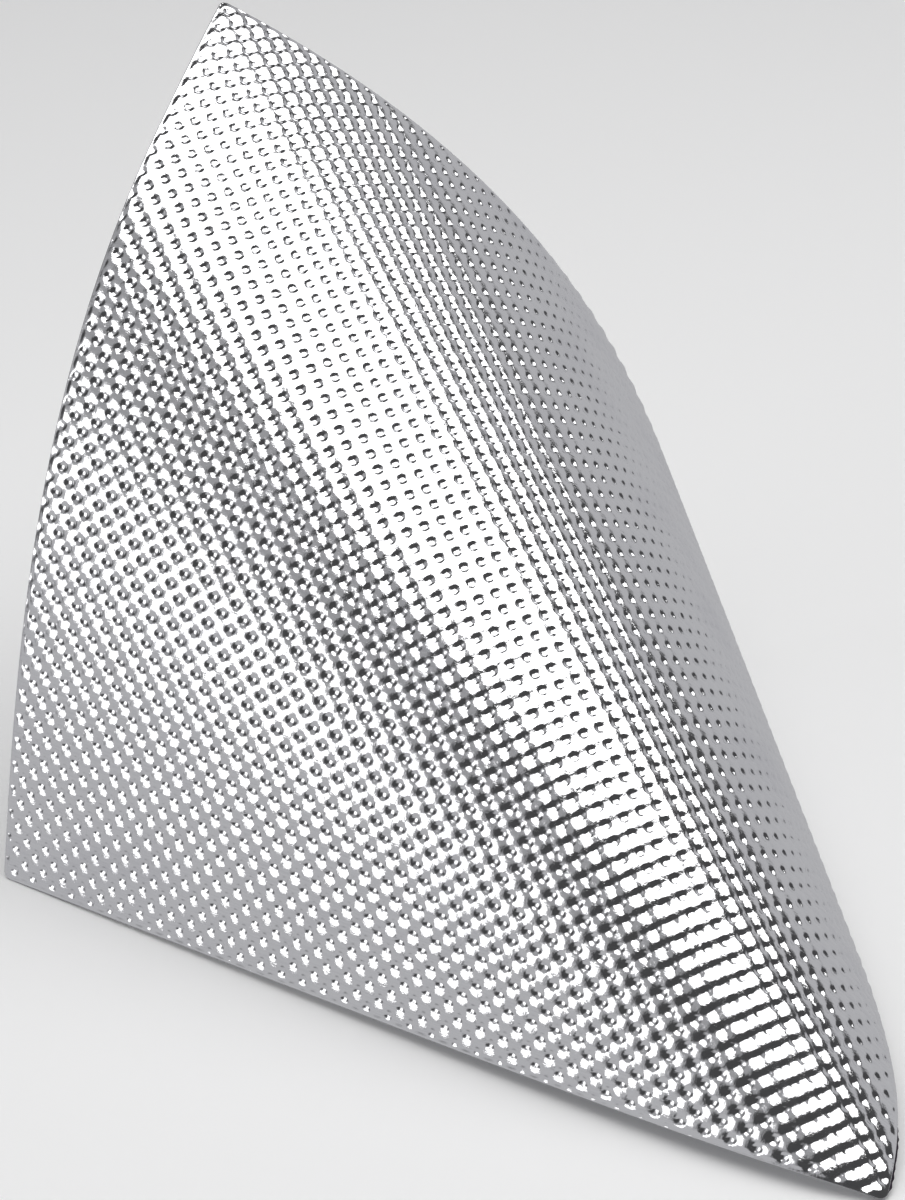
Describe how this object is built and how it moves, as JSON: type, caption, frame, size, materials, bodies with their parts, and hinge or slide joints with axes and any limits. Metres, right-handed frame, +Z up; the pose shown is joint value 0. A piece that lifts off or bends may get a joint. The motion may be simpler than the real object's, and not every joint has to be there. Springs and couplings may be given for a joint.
{
  "type": "foil-faced foam pad",
  "caption": "Thin square foam pad with a dimpled aluminium face, bent along its diagonal so that it stands on its corners; insulates from cold ground or heat.",
  "frame": {"origin": "on the floor that the bent pad stands on, under the middle of its outline", "axes": "+Z up, from the three corners that rest on the floor to the raised corner; +X from the left side corner to the right side corner; +Y to the back, away from the front corner"},
  "size_m": [0.2746, 0.3592, 0.2405],
  "materials": {
    "face_aluminium": "bright polished, embossed with small round dimples",
    "adhesive": "clear to cream film",
    "foam": "matte closed-cell foam, dark, sliced edge",
    "back_aluminium": "satin metallised film, with the faint back of each dimple"
  },
  "bodies": {
    "root": {"face_skin": "face_aluminium", "face_bond_film": "adhesive", "foam_core": "foam", "back_bond_film": "adhesive", "back_skin": "back_aluminium"}
  },
  "joints": []
}
